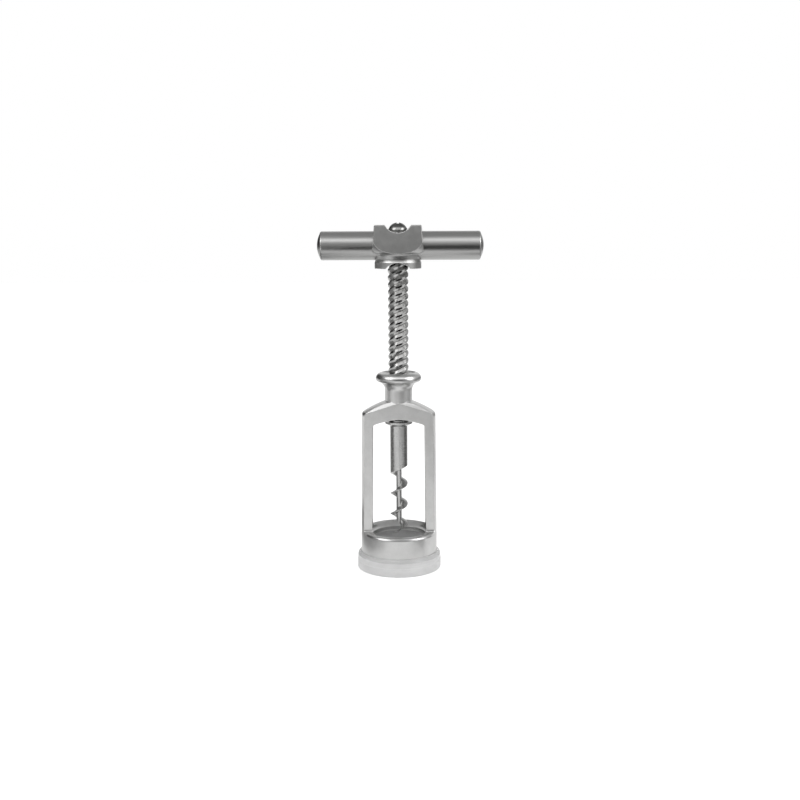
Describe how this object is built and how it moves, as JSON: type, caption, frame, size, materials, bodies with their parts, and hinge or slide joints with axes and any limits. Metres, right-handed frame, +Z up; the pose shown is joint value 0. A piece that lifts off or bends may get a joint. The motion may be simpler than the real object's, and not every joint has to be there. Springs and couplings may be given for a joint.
{
  "type": "open cage corkscrew",
  "caption": "Hand corkscrew with a T handle, a coarse multi-start screw spindle, an open bell cage with a clear bottle guide, and an auger worm on a claw clutch.",
  "frame": {"origin": "on the spindle axis at the underside of the foot", "axes": "+Z up along the spindle, +X along the handle bar at rest, -Y the front of the cage"},
  "size_m": [0.0799, 0.0414, 0.17],
  "materials": {
    "satin_zinc": "satin",
    "clear_plastic": "translucent",
    "turned_steel": "turned",
    "screw_steel": "bright",
    "polished_bar": "bright",
    "worm_steel": "bright"
  },
  "bodies": {
    "frame": {"cage_frame": "satin_zinc", "bottle_guide": "clear_plastic", "nut_bush": "turned_steel"},
    "carrier": {"thrust_washer": "turned_steel"},
    "spindle_group": {"spindle": "screw_steel", "handle_hub": "satin_zinc", "handle_bar": "polished_bar", "hub_screw": "turned_steel", "clutch_bush": "turned_steel"},
    "clip": {"stem_clip": "turned_steel"},
    "worm_group": {"worm": "worm_steel"}
  },
  "joints": [
    {"name": "spindle_travel", "type": "slide", "parent": "frame", "child": "carrier", "axis": [0, 0, -1], "range_m": [0, 0.0495]},
    {"name": "handle_turn", "type": "hinge", "parent": "carrier", "child": "spindle_group", "pos_m": [0, 0, 0.1], "axis": [0, 0, -1], "range_deg": [0, 1710]},
    {"name": "clutch_lift", "type": "slide", "parent": "spindle_group", "child": "clip", "axis": [0, 0, 1], "range_m": [0, 0.0008]},
    {"name": "worm_turn", "type": "hinge", "parent": "clip", "child": "worm_group", "pos_m": [0, 0, 0.06], "axis": [0, 0, -1], "continuous": true}
  ],
  "couplings": [
    {"joint": "spindle_travel", "follows": "handle_turn", "m_per_rad": 0.0016552}
  ]
}
